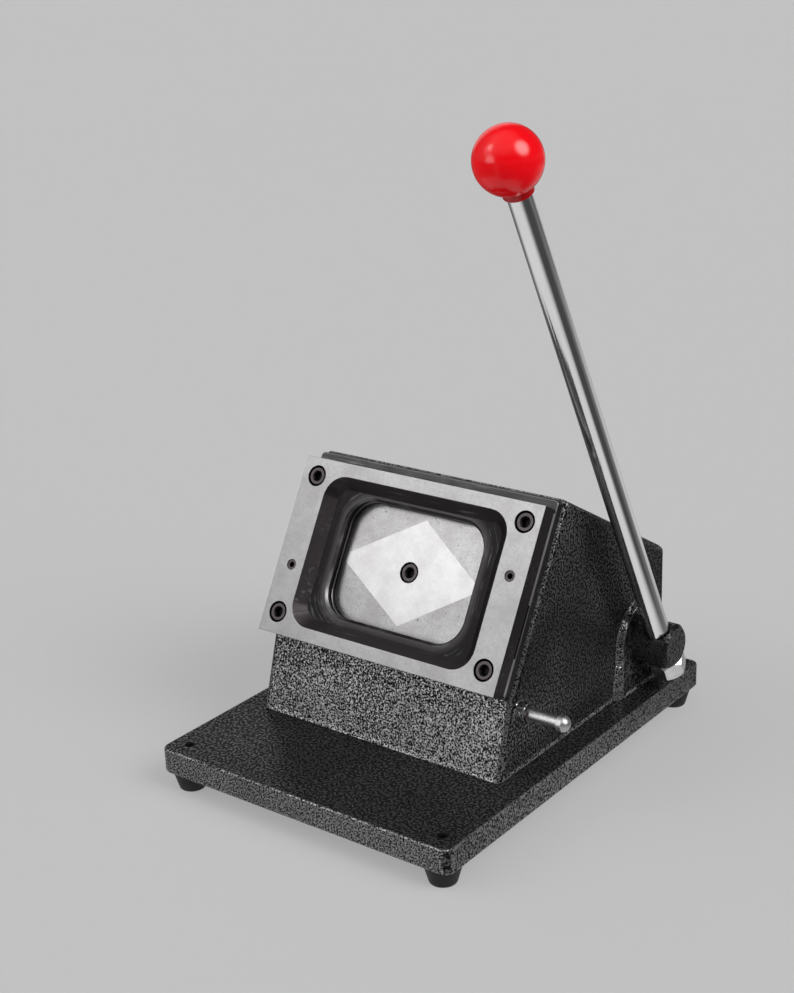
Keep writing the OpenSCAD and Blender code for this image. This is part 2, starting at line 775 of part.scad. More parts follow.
module guide_sleeve() {
    color(bronze) at_die() difference() {
        union() {
            translate([0, 0, -tube_end]) cylinder(d = sleeve_d, h = tube_end - sleeve_seat);
            translate([0, 0, -sleeve_seat]) cylinder(d = flange_d, h = flange_t);
        }
        translate([0, 0, -tube_end - over])
            cylinder(d = ram_d + 2 * run_gap, h = tube_end - sleeve_front + 2 * over);
        translate([-key_w / 2, 0, -key_depth - key_len / 2]) cube([key_w, key_high, key_len]);
    }
}

module guide_key() {
    color(bright_steel) at_die()
        translate([-key_w / 2, key_low, -key_depth - key_len / 2])
            cube([key_w, key_high - key_low, key_len]);
}

module bearing_bush() {
    translate([0, shaft_y, shaft_z]) along_x(bush_inner) difference() {
        cylinder(d = bush_d, h = bush_len);
        translate([0, 0, -over]) cylinder(d = shaft_d + 2 * run_gap, h = bush_len + 2 * over);
    }
}

module bearing_bush_right() {
    color(bronze) placed() bearing_bush();
}

module bearing_bush_left() {
    color(bronze) placed() mirror([1, 0, 0]) bearing_bush();
}

// Turned outline of the stop pin, with its dome rounded in steps
function stop_outline(len) = concat(
    [[0, 0], [stop_d / 2, 0], [stop_d / 2, len], [stop_head_d / 2, len]],
    [
        for (i = [0 : dome_steps])
            let (a = dome_turn * (1 - i / dome_steps))
                [dome_r * sin(a), len + stop_head_h + stop_dome - dome_r + dome_r * cos(a)]
    ]
);

module stop_pin() {
    root = casting_w / 2 - wall_t;
    color(bright_steel) placed() translate([0, stop_y, stop_z]) along_x(root)
        rotate_extrude() polygon(stop_outline(stop_shank - root));
}

module stop_washer() {
    color(black_oxide) placed() translate([0, stop_y, stop_z]) along_x(stop_root) difference() {
        cylinder(d = stop_washer_d, h = stop_washer_t);
        translate([0, 0, -over]) cylinder(d = stop_d + 2 * screw_gap, h = stop_washer_t + 2 * over);
    }
}

// Turned half of the shaft beside the journal, with its far end chamfered
module shaft_bar(len) {
    r = shaft_d / 2;
    along_x(journal_w / 2) rotate_extrude()
        polygon([[0, 0], [r, 0], [r, len - hub_chamfer], [r - hub_chamfer, len], [0, len]]);
}

module eccentric_shaft() {
    journal_in = shaft_d / 4;
    ring_low = bush_inner - ring_gap - ring_t;
    color(black_oxide) at_lever() difference() {
        union() {
            shaft_bar(hub_end - journal_w / 2);
            mirror([1, 0, 0]) shaft_bar(boss_face + shaft_stub - journal_w / 2);
            rotate([cam_phase, 0, 0]) translate([0, 0, throw])
                along_x(-journal_w / 2 - journal_in)
                    cylinder(d = journal_d, h = journal_w + 2 * journal_in);
        }
        for (s = [0, 1]) mirror([s, 0, 0]) along_x(ring_low) difference() {
            cylinder(d = shaft_d + 2 * over, h = ring_t);
            translate([0, 0, -over]) cylinder(d = shaft_d - 2 * groove_h, h = ring_t + 2 * over);
        }
        translate([lever_x, 0, -shaft_d]) cylinder(d = stud_d + 2 * screw_gap, h = 2 * shaft_d);
        translate([lever_x, 0, rod_seat]) cylinder(d = rod_d + 2 * flat_edge, h = shaft_d);
        translate([lever_x, 0, -nut_seat - shaft_d])
            cylinder(d = nut_af / cos(30) + 2 * nut_room, h = shaft_d);
    }
}

// Open rings in the shaft's grooves, just inside the bushes
module shaft_rings() {
    color(bright_steel) at_lever() for (s = [0, 1])
        mirror([s, 0, 0]) along_x(bush_inner - ring_gap - ring_t) difference() {
            cylinder(d = shaft_d + 2 * ring_out, h = ring_t);
            translate([0, 0, -over]) cylinder(d = shaft_d - 2 * groove_h, h = ring_t + 2 * over);
            translate([0, -ring_mouth / 2, -over]) cube([shaft_d, ring_mouth, ring_t + 2 * over]);
        }
}

module lever_rod() {
    stud_low = -nut_seat - nut_h - stud_out;
    color(bright_steel) at_lever() translate([lever_x, 0, 0]) {
        translate([0, 0, rod_seat]) cylinder(d1 = rod_d, d2 = rod_tip_d, h = neck_low - rod_seat);
        translate([0, 0, stud_low]) cylinder(d = stud_d, h = rod_seat - stud_low + over);
        translate([0, 0, neck_low - over]) cylinder(d = tip_d, h = tip_len + over);
    }
}

module lever_nut() {
    nut_d = nut_af / cos(30);
    color(bright_steel) at_lever() translate([lever_x, 0, -nut_seat - nut_h]) difference() {
        intersection() {
            rotate(nut_turn) cylinder(d = nut_d, h = nut_h, $fn = 6);
            cylinder(d1 = nut_af, d2 = nut_af + 2 * nut_h, h = nut_h);
            cylinder(d1 = nut_af + 2 * nut_h, d2 = nut_af, h = nut_h);
        }
        translate([0, 0, -over]) cylinder(d = stud_d + 2 * screw_gap, h = nut_h + 2 * over);
    }
}

module ball_knob() {
    color(red_plastic) at_lever() translate([lever_x, 0, 0]) difference() {
        union() {
            translate([0, 0, lever_len]) sphere(d = ball_d);
            translate([0, 0, neck_low]) cylinder(d = neck_d, h = lever_len - neck_low);
        }
        translate([0, 0, neck_low - over]) cylinder(d = insert_d, h = insert_h + over);
    }
}

module knob_insert() {
    color(bronze) at_lever() translate([lever_x, 0, neck_low]) difference() {
        cylinder(d = insert_d, h = insert_h);
        translate([0, 0, -over]) cylinder(d = tip_d + 2 * screw_gap, h = tip_len + 2 * over);
    }
}

// Round ram with a narrow tongue that meets the journal
module ram() {
    front = shaft_back - punch_end;
    pad_w = tongue_w - 2 * pad_edge;
    pad_h = tongue_up + tongue_down - 2 * pad_edge;
    color(bright_steel) at_drive() difference() {
        union() {
            translate([0, -shaft_up, tongue_front]) cylinder(d = ram_d, h = front - tongue_front);
            translate([-tongue_w / 2, -tongue_down, tongue_end])
                cube([tongue_w, tongue_up + tongue_down, tongue_len + over]);
        }
        translate([-pad_w / 2, pad_edge - tongue_down, tongue_end - over])
            cube([pad_w, pad_h, pad_t + over]);
        translate([-key_w / 2 - key_gap, ram_d / 2 - key_deep - shaft_up, tongue_front - over])
            cube([key_w + 2 * key_gap, ram_d, front - tongue_front + 2 * over]);
        translate([0, -shaft_up, front - punch_grip - over])
            cylinder(d = screw_d + 2 * screw_gap, h = punch_grip + 2 * over);
        for (s = [-1, 1]) {
            translate([s * ram_dowel_off, -shaft_up, front - ram_dowel_in])
                cylinder(d = ram_dowel_d + 2 * screw_gap, h = ram_dowel_in + over);
            translate([s * hook_bolt_gap / 2, -tongue_down - over, hook_bolt_at()]) rotate([-90, 0, 0])
                cylinder(d = screw_d + 2 * screw_gap, h = hook_grip + 2 * over);
        }
    }
}

function hook_bolt_at() = tongue_end + (tongue_len + pad_t) / 2;

module push_pad() {
    pad_w = tongue_w - 2 * pad_edge;
    pad_h = tongue_up + tongue_down - 2 * pad_edge;
    color(black_oxide) at_drive()
        translate([-pad_w / 2, pad_edge - tongue_down, tongue_end]) cube([pad_w, pad_h, pad_t]);
}

// Angle bolted under the tongue, whose upright draws the ram back
module retract_hook() {
    leg_low = -tongue_down - hook_t;
    color(bright_steel) at_drive() difference() {
        union() {
            translate([-tongue_w / 2, leg_low, hook_face - hook_t])
                cube([tongue_w, hook_t, tongue_front - hook_face + hook_t]);
            translate([-tongue_w / 2, leg_low, hook_face - hook_t])
                cube([tongue_w, hook_up - leg_low, hook_t]);
        }
        for (s = [-1, 1])
            translate([s * hook_bolt_gap / 2, leg_low, hook_bolt_at()]) rotate([90, 0, 0])
                screw_hole(hook_t + over);
    }
}

module hook_bolts() {
    leg_low = -tongue_down - hook_t;
    color(black_oxide) at_drive() for (s = [-1, 1])
        translate([s * hook_bolt_gap / 2, leg_low + head_sink, hook_bolt_at()]) rotate([90, 0, 0])
            cap_screw(hook_t - bore_h + hook_grip);
}

// Punch with a flat diamond on its face and four ground corners that fall away from it
module punch() {
    tip_x = punch_w / 2 + tip_over;
    tip_y = punch_h / 2 - tip_short;
    color(ground_steel) at_die() difference() {
        translate([0, 0, -punch_end]) linear_extrude(punch_t) rounded(punch_w, punch_h, punch_r);
        for (sx = [0, 1], sy = [0, 1])
            mirror([sx, 0, 0]) mirror([0, sy, 0]) translate([tip_x, 0, -punch_depth])
                rotate([0, 0, atan2(tip_x - (1 - 2 * sx) * tip_shift, tip_y)]) rotate([0, facet_tilt, 0])
                    translate([0, -reach / 2, 0]) cube([reach, reach, punch_t]);
        translate([0, 0, -punch_depth]) screw_hole(punch_t + over);
        for (s = [-1, 1])
            translate([s * ram_dowel_off, 0, -punch_end - over])
                cylinder(d = ram_dowel_d + 2 * screw_gap, h = ram_dowel_in + over);
    }
}

module punch_screw() {
    color(black_oxide) at_die() translate([0, 0, -punch_depth - head_sink])
        cap_screw(punch_t - bore_h + punch_grip);
}

module punch_dowels() {
    dowel_len = 2 * ram_dowel_in - 2 * head_sink;
    color(bright_steel) at_die() for (s = [-1, 1])
        translate([s * ram_dowel_off, 0, -punch_end - dowel_len / 2])
            cylinder(d = ram_dowel_d, h = dowel_len);
}

base_plate();
rubber_feet();
foot_washers();
foot_screws();
body_casting();
body_bolts();
back_plate();
slot_spacers();
die_plate();
die_screws();
dowel_pins();
guide_sleeve();
guide_key();
bearing_bush_left();
bearing_bush_right();
stop_pin();
stop_washer();
eccentric_shaft();
shaft_rings();
lever_rod();
lever_nut();
ball_knob();
knob_insert();
ram();
push_pad();
retract_hook();
hook_bolts();
punch();
punch_screw();
punch_dowels();
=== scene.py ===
"""Looks of the badge cutter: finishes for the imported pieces, a pale floor, studio light and the camera."""
import math

import bpy
from mathutils import Euler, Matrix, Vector

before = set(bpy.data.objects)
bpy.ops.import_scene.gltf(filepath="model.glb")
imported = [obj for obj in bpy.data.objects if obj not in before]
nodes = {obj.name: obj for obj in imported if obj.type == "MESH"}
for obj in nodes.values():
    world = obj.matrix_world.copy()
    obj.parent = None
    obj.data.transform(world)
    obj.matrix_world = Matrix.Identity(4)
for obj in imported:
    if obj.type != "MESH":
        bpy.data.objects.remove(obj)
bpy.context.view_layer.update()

MM = 0.001


def reach(name, direction):
    """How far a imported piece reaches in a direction."""
    return max(v.co.dot(direction) for v in nodes[name].data.vertices)


# Directions of the machine: the die plate leans back, the lever leans forward
LEAN = math.radians(30)
LEVER_LEAN = math.radians(27.1)
RIGHT = Vector((1, 0, 0))
DOWN = Vector((0, 0, -1))
PLATE_OUT = Vector((0, -math.cos(LEAN), math.sin(LEAN)))
PLATE_UP = Vector((0, math.sin(LEAN), math.cos(LEAN)))
LEVER_UP = Vector((0, -math.sin(LEVER_LEAN), math.cos(LEVER_LEAN)))

# Turns that lay a pattern's lines along the plate, the lever or the stop pin
PLATE_TURN = (-(math.pi / 2 - LEAN), 0, 0)
LEVER_TURN = (-LEVER_LEAN, 0, 0)
PIN_TURN = (0, math.pi / 2, 0)

# Middle of the die, the flat half sides and corner radius of its hole, and its ledge's depth
DIE_MIDDLE = Vector((-8.8, -38.733, 127.872)) * MM
HOLE_FLAT = (32 * MM, 19 * MM)
HOLE_ROUND = 16.2 * MM
LEDGE_DEPTH = 6.5 * MM

# Holes over the feet: the middle between them, half their distances across and along,
# and how far their rims reach, which are painted black as painted shade in the holes
FOOT_MIDDLE = -8.8 * MM
FOOT_HALF = (90.3 * MM, 123.88 * MM)
FOOT_RIM = 3.4 * MM

# A painted highlight runs along the casting's foot, where paint gathers in a fillet, fully up to the first
# height over it and fading up to the second
CASTING_FOOT = -reach("body_casting", DOWN)
SEAM = (2.0 * MM, 4.2 * MM)

# Limits of some pieces that the finishes need
CASTING_RIGHT = reach("body_casting", RIGHT)
PLATE_FRONT = reach("die_plate", PLATE_OUT)

# Where the lever stands over the floor
LEVER_FOOT = (0.094, 0.05)

# Camera of the photograph, in the row frame
CAMERA_AT = (0.54705, -0.74849, 0.4927)
CAMERA_TURN = (70.3476, 1.9751, 37.2421)
CAMERA_LENS = 62.13
SENSOR = 36


# Node helpers

# The range that a noise mostly keeps to
NOISE_RANGE = (0.3, 0.7)


class Tree:
    """Short ways to add and join the nodes of one material or world."""

    def __init__(self, owner, shader="Principled BSDF"):
        owner.use_nodes = True
        self.owner = owner
        self.tree = owner.node_tree
        self.shader = self.tree.nodes[shader]

    def put(self, socket, value):
        """Joins a socket to another node's output, or sets a plain value on it."""
        if isinstance(value, bpy.types.NodeSocket):
            self.tree.links.new(value, socket)
        elif isinstance(value, (tuple, list)) and len(value) == 3 and socket.type == "RGBA":
            socket.default_value = (*value, 1)
        else:
            socket.default_value = value

    def surface(self, **values):
        """Sets the shader's sockets, named with underscores for spaces."""
        for name, value in values.items():
            self.put(self.shader.inputs[name.replace("_", " ")], value)
        return self.owner

    def node(self, kind, **settings):
        made = self.tree.nodes.new(kind)
        for name, value in settings.items():
            setattr(made, name, value)
        return made

    def place(self, scale=(1, 1, 1), turn=(0, 0, 0), shift=(0, 0, 0)):
        """The piece's own coordinates in metres, shifted, turned and stretched."""
        coordinates = self.node("ShaderNodeTexCoord").outputs["Object"]
        mapping = self.node("ShaderNodeMapping", vector_type="POINT")
        self.put(mapping.inputs["Vector"], coordinates)
        self.put(mapping.inputs["Scale"], scale)
        self.put(mapping.inputs["Rotation"], turn)
        self.put(mapping.inputs["Location"], shift)
        return mapping.outputs["Vector"]

    def noise(self, where, scale, detail=2.0, rough=0.5, twist=0.0):
        made = self.node("ShaderNodeTexNoise")
        self.put(made.inputs["Vector"], where)
        self.put(made.inputs["Scale"], scale)
        self.put(made.inputs["Detail"], detail)
        self.put(made.inputs["Roughness"], rough)
        self.put(made.inputs["Distortion"], twist)
        return made.outputs["Fac"]

    def span(self, value, low, high, to_low=0.0, to_high=1.0, smooth=True):
        """Maps a value's range to another, clamped at both ends."""
        made = self.node("ShaderNodeMapRange")
        made.interpolation_type = "SMOOTHSTEP" if smooth else "LINEAR"
        for name, number in (("Value", value), ("From Min", low), ("From Max", high),
                             ("To Min", to_low), ("To Max", to_high)):
            self.put(made.inputs[name], number)
        return made.outputs["Result"]

    def fall(self, value, low, high):
        """1 below a value's range, 0 above it."""
        return self.span(value, low, high, 1.0, 0.0)

    def spread(self, noise, to_low=0.0, to_high=1.0):
        """Stretches a noise to a range."""
        return self.span(noise, *NOISE_RANGE, to_low, to_high)

    def math(self, operation, a, b=0.0):
        made = self.node("ShaderNodeMath", operation=operation)
        self.put(made.inputs[0], a)
        self.put(made.inputs[1], b)
        return made.outputs["Value"]

    def plus(self, a, b):
        return self.math("ADD", a, b)

    def minus(self, a, b):
        return self.math("SUBTRACT", a, b)

    def times(self, a, b):
        return self.math("MULTIPLY", a, b)

    def most(self, a, b):
        return self.math("MAXIMUM", a, b)

    def over(self, value, limit):
        """How far a value lies beyond a limit on either side of 0, or less than 0 within it."""
        return self.minus(self.math("ABSOLUTE", value), limit)

    def length(self, a, b):
        """Length of the long side of a right triangle."""
        return self.math("POWER", self.plus(self.times(a, a), self.times(b, b)), 0.5)

    def axes(self, where):
        """The three parts of a place."""
        made = self.node("ShaderNodeSeparateXYZ")
        self.put(made.inputs["Vector"], where)
        return made.outputs["X"], made.outputs["Y"], made.outputs["Z"]

    def along(self, where, direction):
        """How far a place lies in a direction."""
        made = self.node("ShaderNodeVectorMath", operation="DOT_PRODUCT")
        self.put(made.inputs[0], where)
        self.put(made.inputs[1], direction)
        return made.outputs["Value"]

    def mix(self, share, a, b):
        """Blend of two colours."""
        made = self.node("ShaderNodeMix", data_type="RGBA")
        self.put(made.inputs["Factor"], share)
        self.put(made.inputs["A"], a)
        self.put(made.inputs["B"], b)
        return made.outputs["Result"]

    def bump(self, height, distance, strength):
        made = self.node("ShaderNodeBump")
        self.put(made.inputs["Height"], height)
        self.put(made.inputs["Distance"], distance)
        self.put(made.inputs["Strength"], strength)
        return made.outputs["Normal"]


def material_tree(name):
    return Tree(bpy.data.materials.new(name))


def grey(value):
    return (value, value, value)


def tinted(tone, tint):
    return tuple(tone * part for part in tint)


# Materials

PAINT_BLACK = (0.006, 0.006, 0.0065)
PAINT_PATCHES = 16
RIDGE_RISE = 0.36


def off_painted_hole_shade(t, where):
    """0 on the rims of the holes over the feet, which are painted black as painted shade in the holes; 1
    elsewhere.
    """
    x, y, _ = t.axes(where)
    across = t.over(t.minus(x, FOOT_MIDDLE), FOOT_HALF[0])
    return t.math("GREATER_THAN", t.length(across, t.over(y, FOOT_HALF[1])), FOOT_RIM)


def crinkle_paint(name, ridge, grain=1000, rough=0.28, valley=0.34, cloud=0.15, holes=False, seam=None):
    """Black hammertone: short bright ridges with dark valleys between them.

    With holes, the rims of the holes over the feet are painted black, as painted shade in the holes. With
    seam, the ridges along the casting's foot take that brightness, a painted highlight where paint gathers in
    a fillet along the foot.
    """
    t = material_tree(name)
    where = t.place()
    worms = t.noise(where, scale=grain, detail=0.0)
    patches = t.noise(where, scale=PAINT_PATCHES, detail=3)
    ridges = t.span(worms, valley, valley + RIDGE_RISE, smooth=False)
    # Painted shade in the holes over the feet: their rims lose their bright ridges
    if holes:
        ridges = t.times(ridges, off_painted_hole_shade(t, where))
    bright = t.mix(t.spread(patches), grey((1 - cloud) * ridge), grey((1 + cloud) * ridge))
    # Painted highlight: brighter ridges along the casting's foot
    if seam:
        foot_highlight = t.fall(t.axes(where)[2], CASTING_FOOT + SEAM[0], CASTING_FOOT + SEAM[1])
        bright = t.mix(foot_highlight, bright, grey(seam))
    return t.surface(
        Base_Color=t.mix(ridges, PAINT_BLACK, bright),
        Metallic=ridges,
        Roughness=t.span(patches, 0.2, 0.8, rough - 0.04, rough + 0.04),
        Normal=t.bump(worms, 0.5 * MM, 0.3),
        Specular_IOR_Level=0.02,
    )


GROUND_ROUGH = 0.3
FLECK_RANGE = (0.4, 0.75)
FLECK_TONE = 0.6


def ground_steel(name, tone, cut=0.03, drag=0.018, fleck=0.3):
    """Ground plate: fine lines across the plate, with faint stains and flecks."""
    t = material_tree(name)
    lines = t.noise(t.place(scale=(40, 2600, 2600), turn=PLATE_TURN), scale=1, detail=4, rough=0.7)
    stains = t.noise(t.place(), scale=55, detail=5, rough=0.65)
    flecks = t.noise(t.place(), scale=700, detail=4, rough=0.7)
    warm = t.mix(t.spread(stains), tinted(tone, (0.86, 0.84, 0.85)), tinted(tone, (1.06, 1.05, 1.06)))
    return t.surface(
        Base_Color=t.mix(t.span(flecks, *FLECK_RANGE, 0.0, fleck), warm, grey(FLECK_TONE * tone)),
        Metallic=1.0,
        Roughness=t.spread(lines, GROUND_ROUGH - drag, GROUND_ROUGH + drag),
        Normal=t.bump(lines, 0.05 * MM, cut),
    )


def brushed_arcs(name, tone):
    """Hand-ground corners of the punch: arcs of fine scratches, with stains, flecks and pits."""
    t = material_tree(name)
    arcs = t.node("ShaderNodeTexWave", wave_type="RINGS", rings_direction="SPHERICAL")
    t.put(arcs.inputs["Vector"], t.place(shift=(0.13, 0.11, 0.05)))
    t.put(arcs.inputs["Scale"], 260.0)
    t.put(arcs.inputs["Distortion"], 9.0)
    t.put(arcs.inputs["Detail"], 4.0)
    t.put(arcs.inputs["Detail Scale"], 2.5)
    scratches = arcs.outputs["Fac"]
    stains = t.noise(t.place(), scale=70, detail=5, rough=0.65)
    pits = t.noise(t.place(), scale=420, detail=2)
    flecks = t.noise(t.place(), scale=600, detail=4, rough=0.7)
    worn = t.mix(t.spread(stains), tinted(tone, (0.84, 0.8, 0.82)), grey(1.06 * tone))
    dull = t.plus(t.span(flecks, *FLECK_RANGE, 0.0, 0.5), t.span(scratches, 0.0, 1.0, 0.0, 0.2))
    scratched = t.mix(dull, worn, grey(FLECK_TONE * tone))
    return t.surface(
        Base_Color=t.mix(t.span(pits, 0.68, 0.76, 0.0, 0.8), scratched, grey(0.08)),
        Metallic=1.0,
        Roughness=t.span(scratches, 0.0, 1.0, 0.32, 0.42),
        Normal=t.bump(scratches, 0.03 * MM, 0.3),
    )


def black_oxide(name, tone, rough=0.42, turn=(0, 0, 0), worn=0.25, tint=(1.1, 0.95, 0.98)):
    """Blackened steel with lighter rubbed streaks."""
    t = material_tree(name)
    streaks = t.noise(t.place(scale=(30, 420, 420), turn=turn), scale=1, detail=5, rough=0.7)
    patches = t.noise(t.place(), scale=60, detail=4)
    rubbed = t.times(t.span(streaks, 0.5, 0.8), t.span(patches, 0.4, 0.7))
    return t.surface(
        Base_Color=t.mix(rubbed, tinted(tone, tint), grey(worn)),
        Metallic=0.9,
        Roughness=t.span(patches, 0.25, 0.75, rough - 0.06, rough + 0.08),
        Normal=t.bump(streaks, 0.04 * MM, 0.3),
    )


# How close the ledge's streaks lie across and along their length
STREAKS_ACROSS = 1100.0
STREAKS_ALONG = 45.0


def ledge_steel(name):
    """Milled ledge round the die hole: cutter streaks along the hole's outline, with a painted highlight
    along the hole's edge and painted shade darkening towards the window's wall.
    """
    t = material_tree(name)
    where = t.place()
    x = t.minus(t.axes(where)[0], DIE_MIDDLE.x)
    y = t.minus(t.along(where, PLATE_UP), DIE_MIDDLE.dot(PLATE_UP))
    over_x = t.most(t.over(x, HOLE_FLAT[0]), 0.0)
    over_y = t.most(t.over(y, HOLE_FLAT[1]), 0.0)
    away = t.minus(t.length(over_x, over_y), HOLE_ROUND)
    ring = t.node("ShaderNodeCombineXYZ")
    t.put(ring.inputs["X"], t.times(away, STREAKS_ACROSS))
    t.put(ring.inputs["Y"], t.times(x, STREAKS_ALONG))
    t.put(ring.inputs["Z"], t.times(y, STREAKS_ALONG))
    streaks = t.noise(ring.outputs["Vector"], scale=1.0, detail=3, rough=0.6)
    patches = t.noise(where, scale=55, detail=3)
    rubbed = t.times(t.span(streaks, 0.5, 0.75), t.span(patches, 0.45, 0.7))
    # Painted highlight along the hole's edge, and painted shade growing darker away from it towards the
    # window's wall
    edge = t.times(t.fall(away, 0.6 * MM, 2.2 * MM), t.span(patches, 0.4, 0.7))
    dark = t.mix(t.span(away, 1.0 * MM, 7.0 * MM), (0.045, 0.041, 0.042), (0.01, 0.009, 0.009))
    worn = t.mix(rubbed, dark, grey(0.15))
    return t.surface(
        Base_Color=t.mix(edge, worn, grey(0.24)),
        Metallic=0.9,
        Roughness=t.spread(streaks, 0.34, 0.46),
        Normal=t.bump(streaks, 0.04 * MM, 0.3),
    )


def polished_steel(name, turn, tone=1.0, rough=0.1):
    """Drawn bar: bright, with faint marks along its length."""
    t = material_tree(name)
    marks = t.noise(t.place(scale=(1500, 1500, 6), turn=turn), scale=1, detail=4, rough=0.6)
    smears = t.noise(t.place(scale=(60, 60, 14), turn=turn), scale=1, detail=4)
    return t.surface(
        Base_Color=t.mix(t.span(smears, 0.35, 0.65), grey(0.93 * tone), grey(0.98 * tone)),
        Metallic=1.0,
        Roughness=t.spread(marks, rough, rough + 0.07),
        Normal=t.bump(marks, 0.02 * MM, 0.2),
    )


def zinc_plate(name):
    """Bright zinc with a faint spangle."""
    t = material_tree(name)
    spangle = t.noise(t.place(), scale=260, detail=3, twist=0.6)
    return t.surface(
        Base_Color=t.mix(t.span(spangle, 0.35, 0.65), (0.8, 0.8, 0.82), (0.95, 0.95, 0.96)),
        Metallic=1.0,
        Roughness=t.spread(spangle, 0.24, 0.36),
        Normal=t.bump(spangle, 0.05 * MM, 0.25),
    )


def turned_bronze(name):
    """Oiled bearing bronze with fine turning marks."""
    t = material_tree(name)
    marks = t.noise(t.place(scale=(2400, 60, 60)), scale=1, detail=3)
    stains = t.noise(t.place(), scale=90, detail=4)
    return t.surface(
        Base_Color=t.mix(t.spread(stains), (0.16, 0.1, 0.045), (0.26, 0.17, 0.08)),
        Metallic=1.0,
        Roughness=t.spread(marks, 0.28, 0.4),
        Normal=t.bump(marks, 0.03 * MM, 0.3),
    )


def black_rubber(name):
    """Moulded rubber, matt with dusty patches."""
    t = material_tree(name)
    grain = t.noise(t.place(), scale=1400, detail=2)
    dust = t.noise(t.place(), scale=70, detail=4)
    return t.surface(
        Base_Color=t.mix(t.span(dust, 0.45, 0.75), (0.012, 0.012, 0.013), (0.035, 0.034, 0.035)),
        Roughness=t.spread(dust, 0.5, 0.68),
        Normal=t.bump(grain, 0.1 * MM, 0.3),
        Specular_IOR_Level=0.2,
    )


def red_plastic(name, tone=1.0):
    """Glossy phenolic with a trace of handling marks."""
    t = material_tree(name)
    pale, deep = tinted(tone, (0.86, 0.001, 0.007)), tinted(tone, (0.81, 0.0005, 0.005))
    depth = t.noise(t.place(), scale=30, detail=2)
    marks = t.noise(t.place(), scale=240, detail=4, rough=0.6)
    return t.surface(
        Base_Color=t.mix(t.spread(depth), deep, pale),
        Roughness=t.span(marks, 0.35, 0.7, 0.12, 0.18),
        Normal=t.bump(marks, 0.02 * MM, 0.1),
        Specular_IOR_Level=0.45,
    )


def pale_floor(name, tone, glow):
    """Matt studio floor over a light table, so that shadows stay faint."""
    t = material_tree(name)
    haze = t.noise(t.place(), scale=0.7, detail=2)
    return t.surface(
        Base_Color=t.mix(haze, grey(0.99 * tone), grey(1.01 * tone)),
        Roughness=1.0,
        Specular_IOR_Level=0.0,
        Emission_Color=grey(1.0),
        Emission_Strength=glow,
    )


def mirror_floor(name, bright, dark, dark_left):
    """The light table as bright pieces mirror it: pale, with dark cards right, in front and left.

    The numbers say where a card begins and where it is full, in metres or, for turns round the lever's foot,
    in radians.
    """
    t = material_tree(name)
    x, y, _ = t.axes(t.place())
    aside, back = t.minus(x, LEVER_FOOT[0]), t.minus(y, LEVER_FOOT[1])
    away = t.length(aside, back)
    right_turn = t.math("ARCTAN2", back, aside)
    left_turn = t.math("ARCTAN2", t.times(back, -1.0), t.times(aside, -1.0))

    slant = t.span(t.plus(t.times(x, 0.94), y), 0.165, 0.32)
    right = t.times(t.most(slant, t.span(x, 0.2, 0.47)), t.span(x, 0.04, 0.09))
    front = t.times(t.span(away, 0.36, 0.46), t.span(right_turn, -1.75, -1.4))
    front = t.times(front, t.fall(right_turn, 0.0, 0.2))
    near_left = t.fall(left_turn, -0.1, 0.7)
    far_left = t.times(t.span(away, 0.44, 0.7), t.fall(left_turn, 1.3, 1.7))
    left = t.times(t.span(left_turn, -1.5, -1.2), t.most(near_left, far_left))

    # The card on the right grows paler towards its back
    rise = t.times(t.span(away, 0.05, 0.5, 0.16, 0.47), t.span(away, 0.55, 2.6, 1.0, 0.14))
    rise = t.times(t.span(right_turn, 0.42, 1.38, smooth=False), rise)
    glow = t.mix(t.most(right, front), grey(bright), t.plus(rise, dark))
    return t.surface(
        Base_Color=grey(0.0),
        Roughness=1.0,
        Specular_IOR_Level=0.0,
        Emission_Color=t.mix(left, glow, grey(dark_left)),
        Emission_Strength=1.0,
    )


# Copies of one hammertone paint, lit and shaded: brighter ridges on front faces are painted light, darker
# ridges on tops and sides are painted shade
paint_base_lit = crinkle_paint("hammer_paint_base_lit", ridge=0.285, valley=0.36)
paint_top_shaded = crinkle_paint("hammer_paint_top_shaded", ridge=0.12, grain=700, valley=0.44)
# Casting paint: the front copy carries painted light, the side copy painted shade
paint_body_lit = crinkle_paint("hammer_paint_body_lit", ridge=0.24, valley=0.37, seam=0.4)
paint_side_shaded = crinkle_paint("hammer_paint_side_shaded", ridge=0.15, grain=700, rough=0.22, valley=0.44, cloud=0.45,
                           seam=0.8)
paint_edge = crinkle_paint("hammer_paint_edge", ridge=0.3)
paint_flank_shaded = crinkle_paint("hammer_paint_flank_shaded", ridge=0.2, valley=0.38)
# Paint for the base's rounds and hole rims; near the holes its ridges are dropped, as painted shade in the
# holes
paint_rim = crinkle_paint("hammer_paint_rim", ridge=0.3, holes=True)
# Painted shade: a near-black copy of the paint for the casting's boss, in the hub's shadow, and for the
# shaft's chamfer
paint_deep_shade = crinkle_paint("hammer_paint_deep_shade", ridge=0.04)
paint_shaft = crinkle_paint("hammer_paint_shaft", ridge=0.18)
plate_face = ground_steel("ground_face", tone=0.27, fleck=0.45)
plate_black = black_oxide("black_plate", tone=0.034, turn=PLATE_TURN)
# Painted light: a lighter copy of the black oxide for the window's lower wall, which faces up
plate_wall_lit = black_oxide("wall_painted_light", tone=0.07, turn=PLATE_TURN)
back_black = black_oxide("black_back_plate", tone=0.035, turn=PLATE_TURN, worn=0.4)
back_front = black_oxide("rubbed_back_plate", tone=0.055, turn=PLATE_TURN, worn=0.3, tint=(1, 1.02, 1))
worn_edge = ground_steel("worn_edge", tone=0.2)
ledge = ledge_steel("milled_ledge")
screw_black = black_oxide("black_screw", tone=0.06, rough=0.36)
